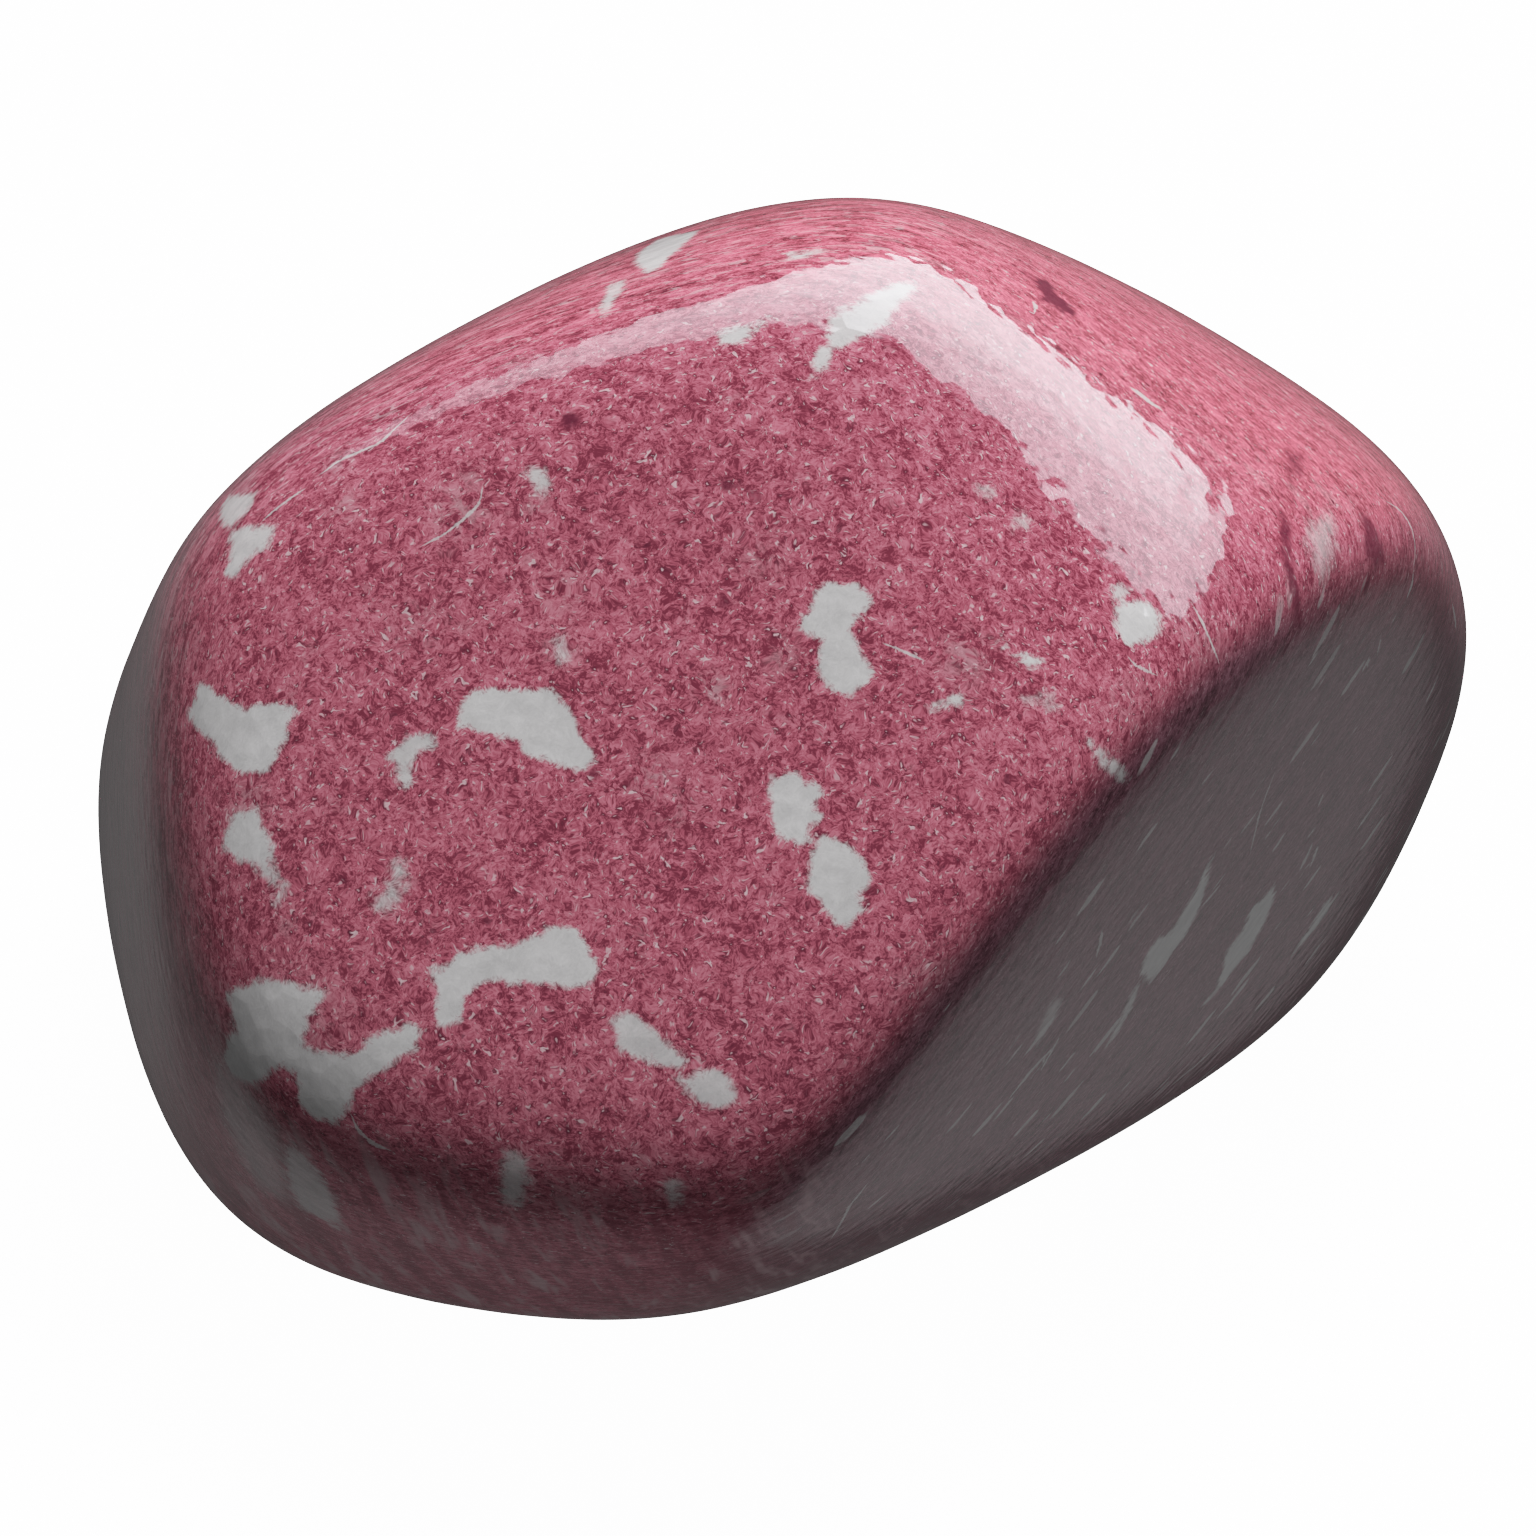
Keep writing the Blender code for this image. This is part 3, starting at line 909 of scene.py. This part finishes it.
def thulite():
    """Pink grain with felted blades, hazes, veins and flush patches of a pale mineral, polished."""
    material = bpy.data.materials.new("polished_thulite")
    material.use_nodes = True
    tree = Tree(material.node_tree)
    surface = material.node_tree.nodes["Principled BSDF"]
    place = tree.scaled(tree.node("ShaderNodeTexCoord", None, None, "Object"), 1.0 / MM)
    beds = bedded(tree, place, BEDDING_RATIO)
    strata = bent(tree, bedded(tree, place, STREAK_RATIO), *STREAK_SWIRL)
    felt = bent(tree, beds, *FELT_SWIRL)
    curl = bent(tree, felt, *CURL_SWIRL)

    cloud = tree.noise(beds, CLOUD, 2.0, 0.7, 1.0)
    mottle = tree.noise(felt, MOTTLE, 2.0, 0.8, 2.0)
    grain = tree.noise(curl, GRAIN, 1.0, 0.8, 3.0)
    coarse, pale, dark = crystals(tree, curl, *COARSE_CRYSTALS)
    fine, fine_pale, fine_painted_shadow = crystals(tree, curl, *FINE_CRYSTALS)

    # The ground: wine to pink to rose by its tone, which each part of the grain moves by its share.
    wispy = attribute(tree, "wispy side")
    edgewise = attribute(tree, "edgewise") * (1.0 - wispy * 0.8)
    streaked = attribute(tree, "streaked side")
    streak = tree.noise(strata, STREAK, 2.0, 0.75, 15.0)
    tone = 0.5 + (streak - 0.5) * edgewise * (0.9 + streaked * 1.7)
    for part, share in ((cloud, 0.8), (mottle, 1.0), (grain, 2.1), (coarse, 0.25), (fine, 0.65)):
        tone = tone + (part - 0.5) * share
    colour = tree.blend(tree.step(tone, *WINE_TO_PINK), WINE, PINK)
    colour = tree.blend(tree.step(tone, *PINK_TO_ROSE), colour, ROSE)

    # Hazes, from the photograph and of the stone's own, break up the pink with pale grains.
    drift = tree.noise(beds, DRIFT, 2.0, 0.6, 5.0)
    haze = attribute(tree, "haze") + tree.step(drift, 0.60, 0.78) * 0.3
    colour = tree.blend(haze * tree.step(mottle + fine * 0.2, 0.48, 0.72), colour, GREYED)

    # Painted light and painted shade: the side that faces the overhead lamp comes out lighter and redder,
    # and the side that faces lower right, away from it, comes out darker and greyer, with deeper wine where
    # it begins.
    painted_shade = attribute(tree, "painted shade side")
    painted_light = attribute(tree, "painted light side")
    # Painted light: a lighter salmon on the side that faces the overhead lamp.
    colour = tree.blend(painted_light * 0.75, colour, tree.scaled(SALMON[:3], 0.45 + tone * 1.15))
    # Painted shade: dusk on the side that faces lower right, with deeper wine at its edge.
    dusk = tree.blend(tree.step(painted_shade, 0.25, 0.95), DEEP_WINE, tree.scaled(DUSKY[:3], 0.5 + tone))
    colour = tree.blend(painted_shade * 0.75, colour, dusk)

    # Wisps run down the wispy side.
    downward = bent(tree, stretched(tree, place, WISP_LIE, WISP_RATIO), *WISP_SWIRL)
    wisp = tree.noise(downward, WISP, 2.0, 0.75, 17.0)
    colour = tree.blend(wispy * tree.step(wisp, 0.50, 0.35) * 0.6, colour, WINE)
    colour = tree.blend(wispy * tree.step(wisp, 0.50, 0.70), colour, GREYED)

    # Long thin streaks and pale flakes show where the beds are cut across.
    line = tree.noise(strata, THREAD, 1.0, 0.6, 16.0)
    thread = 1.0 - tree.step(abs(line - 0.5), 0.010, 0.035)
    threaded = thread * edgewise * (0.12 + streaked * 0.88) * (coarse + 0.3)
    colour = tree.blend(tree.step(threaded, 0.25, 0.8) * 0.38, colour, PALE)
    flake, slit = flakes(tree, bedded(tree, felt, FLAKE_RATIO), *FLAKES)
    colour = tree.blend(edgewise * slit * (0.4 + painted_shade * 0.3), colour, MAROON)
    colour = tree.blend(edgewise * flake * (0.12 + painted_shade * 0.88) * (0.3 + grain * 0.8), colour, WHITE)

    # The painted shadow beside the blades and round the specks, and then the blades.
    felted = (1.0 - edgewise * streaked * 0.6) * (1.0 - painted_shade * 0.6)
    colour = tree.blend((dark * 0.7 + fine_painted_shadow * 0.6) * felted, colour, MAROON)
    colour = tree.blend((pale + fine_pale * 0.8) * (0.35 + grain * 0.9) * felted, colour, PALE)

    pale_line, dark_line = vein_cover(tree, grain, mottle)
    colour = tree.blend(dark_line * 0.75, colour, MAROON)
    colour = tree.blend(pale_line * (0.45 + grain * 0.6), colour, WHITE)

    # The patches are finely fibrous inside.
    bright = 1.0 + (grain - 0.5) * 0.25 + (mottle - 0.5) * 0.35 + (cloud - 0.5) * 0.35
    pale_patch, dark_patch = patch_cover(tree, beds, grain)
    colour = tree.blend(dark_patch, colour, tree.scaled(MAROON[:3], 0.6 + grain))
    colour = tree.blend(pale_patch, colour, tree.scaled(WHITE[:3], bright))

    tree.links.new(colour.socket, surface.inputs["Base Color"])
    surface.inputs["Roughness"].default_value = ROUGHNESS
    surface.inputs["IOR"].default_value = STONE_IOR

    dimple = dimples(tree, bedded(tree, place, DIMPLE_RATIO), DIMPLE, 70.0)
    height = tree.noise(beds, WAVE_LENGTH, 1.0, 0.5, 14.0) + dimple * DIMPLE_SLOPE
    bump = tree.node("ShaderNodeBump", None, {"Strength": 1.0, "Distance": WAVE * MM, "Height": height})
    tree.links.new(bump.socket, surface.inputs["Normal"])
    return material


# The soft light, which shows in the stone's gloss alone: its middle from the stone's middle in mm, its
# turn about the vertical in degrees, and its corners in mm: front left, front right, back right and
# back left. Its brightness rises from the front to the back, less so at its right end, and drops to a
# small share at its left end. The ends are ranges along it, in mm. Its corners are a least-squares
# fit's result for the shine in the photograph.
SOFTBOX_PLACE = Vector((60.0, 31.0, 180.0))
SOFTBOX_TURN = -14.0
SOFTBOX_CORNERS = [(-268.0, -19.0), (124.0, -84.0), (80.0, 84.0), (-50.0, 160.0)]
SOFTBOX_FRONT = 4.5
SOFTBOX_RISE = 4.5
SOFTBOX_RISE_FROM = -48.0
SOFTBOX_RISE_TO = 32.0
SOFTBOX_EDGE = 3.5
SOFTBOX_RIGHT_END = (70.0, 95.0)
SOFTBOX_LEFT_END = (-230.0, -40.0)
SOFTBOX_LEFT_SHARE = 0.2
SOFTBOX_COLOUR = (0.99, 0.985, 1.06, 1.0)


def add_softbox():
    """A sheet of light over the stone, cut to four corners."""
    mesh = bpy.data.meshes.new("softbox")
    mesh.from_pydata([(x * MM, y * MM, 0.0) for x, y in SOFTBOX_CORNERS], [], [(3, 2, 1, 0)])
    softbox = bpy.data.objects.new("softbox", mesh)
    softbox.location = (MIDDLE + SOFTBOX_PLACE) * MM
    softbox.rotation_euler.z = math.radians(SOFTBOX_TURN)
    bpy.context.scene.collection.objects.link(softbox)
    softbox.visible_camera = False
    softbox.visible_diffuse = False
    softbox.visible_shadow = False

    material = bpy.data.materials.new("softbox_glow")
    material.use_nodes = True
    tree = Tree(material.node_tree)
    tree.nodes.clear()
    where = tree.scaled(tree.node("ShaderNodeTexCoord", None, None, "Object"), 1.0 / MM)
    along, back, _ = tree.parts(where)
    (left_x, left_y), (right_x, right_y) = SOFTBOX_CORNERS[:2]
    slant = (right_y - left_y) / (right_x - left_x)
    fade = tree.step(back - left_y - (along - left_x) * slant, 0.0, SOFTBOX_EDGE)
    rise = tree.step(back, SOFTBOX_RISE_FROM, SOFTBOX_RISE_TO) * (1.0 - tree.step(along, *SOFTBOX_RIGHT_END))
    left_end = SOFTBOX_LEFT_SHARE + tree.step(along, *SOFTBOX_LEFT_END) * (1.0 - SOFTBOX_LEFT_SHARE)
    strength = fade * left_end * (SOFTBOX_FRONT + rise * SOFTBOX_RISE)
    glow = tree.node("ShaderNodeEmission", None, {"Color": SOFTBOX_COLOUR, "Strength": strength})
    tree.place("ShaderNodeOutputMaterial", None, {"Surface": glow})
    material.cycles.emission_sampling = "NONE"
    mesh.materials.append(material)


# The lamps that shine on the stone but don't show in its gloss: name, azimuth and elevation in degrees,
# distance and width in mm, and the light that falls on a surface that faces them. A least-squares fit
# to the light in the photograph gave the azimuth, elevation and brightness of the overhead lamp and
# of the bounce lamp, nearly as they stand.
LAMPS = [
    ("overhead", 47.0, 75.5, 300.0, 160.0, 1.52),
    ("bounce", -120.0, -65.0, 300.0, 160.0, 0.14),
    ("side fill", -30.0, -25.0, 300.0, 160.0, 0.085),
]


def add_lamps():
    for name, azimuth, elevation, distance, width, brightness in LAMPS:
        data = bpy.data.lights.new(name, "AREA")
        data.shape = "DISK"
        data.size = width * MM
        data.energy = brightness * (math.pi * distance * MM) ** 2
        lamp = bpy.data.objects.new(name, data)
        towards = facing(azimuth, elevation)
        lamp.location = (MIDDLE + towards * distance) * MM
        lamp.rotation_euler = towards.to_track_quat("Z", "Y").to_euler()
        lamp.visible_glossy = False
        lamp.visible_camera = False
        bpy.context.scene.collection.objects.link(lamp)


# The pale floor: half its width in m, its colour, and its own light, by which it comes out nearly white.
FLOOR_HALF = 1.5
FLOOR_COLOUR = (0.3, 0.3, 0.3, 1.0)
FLOOR_GLOW = 3.2


def add_floor():
    mesh = bpy.data.meshes.new("floor")
    signs = ((-1, -1), (1, -1), (1, 1), (-1, 1))
    mesh.from_pydata([(x * FLOOR_HALF, y * FLOOR_HALF, 0.0) for x, y in signs], [], [(0, 1, 2, 3)])
    floor = bpy.data.objects.new("floor", mesh)
    bpy.context.scene.collection.objects.link(floor)
    material = bpy.data.materials.new("pale_floor")
    material.use_nodes = True
    surface = material.node_tree.nodes["Principled BSDF"]
    surface.inputs["Base Color"].default_value = FLOOR_COLOUR
    surface.inputs["Roughness"].default_value = 0.9
    surface.inputs["Specular IOR Level"].default_value = 0.0
    surface.inputs["Emission Color"].default_value = (1.0, 1.0, 1.0, 1.0)
    surface.inputs["Emission Strength"].default_value = FLOOR_GLOW
    material.cycles.emission_sampling = "NONE"
    mesh.materials.append(material)
    floor.visible_diffuse = False
    floor.visible_glossy = False
    floor.visible_shadow = False


# The room: its light on the stone's colour, the light that the stone's gloss mirrors of it, and how much
# brighter it is to the camera.
SHADE = 0.035
ROOM = 0.08
BACKDROP = 3.9

# The brighter places that the gloss mirrors: name, azimuth and elevation of the middle of each and how
# wide it spreads, in degrees, and how much brighter than the rest of the room it is.
GLOWS = [
    ("table in front", 8.0, -56.0, 31.0, 0.37),
    ("right wall", 25.0, -16.0, 50.0, 0.07),
    ("back wall", 65.0, -5.0, 35.0, 0.16),
    ("behind the softbox", 50.0, 41.0, 30.0, 0.35),
    ("left wall", 155.0, -25.0, 45.0, 0.155),
    ("behind on the left", 120.0, -22.0, 28.0, 0.10),
    ("left of the table", -165.0, -60.0, 40.0, 0.10),
]


def add_world():
    """Dim all round for the stone's colour, with the room's glows in its gloss, and pale for the camera."""
    world = bpy.data.worlds.new("studio")
    bpy.context.scene.world = world
    world.use_nodes = True
    tree = Tree(world.node_tree)
    tree.nodes.clear()
    where = tree.node("ShaderNodeTexCoord", None, None, "Generated")
    gloss = ROOM
    for _, azimuth, elevation, spread, brightness in GLOWS:
        towards = tree.vector("DOT_PRODUCT", where, tuple(facing(azimuth, elevation)))
        gloss = tree.step(towards, math.cos(math.radians(spread)), 1.0) * brightness + gloss
    path = tree.place("ShaderNodeLightPath")
    glossy = tree.flow(path, "Is Glossy Ray")
    camera = tree.flow(path, "Is Camera Ray")
    strength = SHADE + glossy * (gloss - SHADE) + camera * BACKDROP
    glow = tree.node("ShaderNodeBackground", None, {"Strength": strength})
    tree.place("ShaderNodeOutputWorld", None, {"Surface": glow})
    world.cycles.sampling_method = "NONE"


# The film that the picture is taken on: the light that comes out white, where its response starts to
# bend, how soon it levels off, and the shares of white at which it is drawn.
FILM_WHITE = 4.0
FILM_KNEE = 0.3
FILM_SOFTNESS = 0.754
FILM_STEPS = [0.03, 0.06, 0.075, 0.09, 0.12, 0.16, 0.2, 0.25, 0.3, 0.37, 0.45, 0.55, 0.7, 0.85]


def add_film():
    """A film's response: true up to the middle tones, and softer and softer towards white."""
    view = bpy.context.scene.view_settings
    view.view_transform = "Standard"
    view.use_curve_mapping = True
    view.curve_mapping.white_level = (FILM_WHITE, FILM_WHITE, FILM_WHITE)
    curve = view.curve_mapping.curves[3]
    for share in FILM_STEPS:
        light = share * FILM_WHITE
        above = max(light - FILM_KNEE, 0.0)
        shown = min(light, FILM_KNEE) + (1.0 - FILM_KNEE) * (1.0 - math.exp(-above / FILM_SOFTNESS))
        curve.points.new(share, shown)
    view.curve_mapping.update()


pebble = grow_stone(thulite())
skin = Skin(pebble)
mark_patches(skin)
mark_veins(skin)
mark_hazes(skin)
mark_edgewise(skin)
mark_sides(skin)
add_camera()
add_softbox()
add_lamps()
add_floor()
add_world()
add_film()

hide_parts("thulite_stone")
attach(pebble, "root")
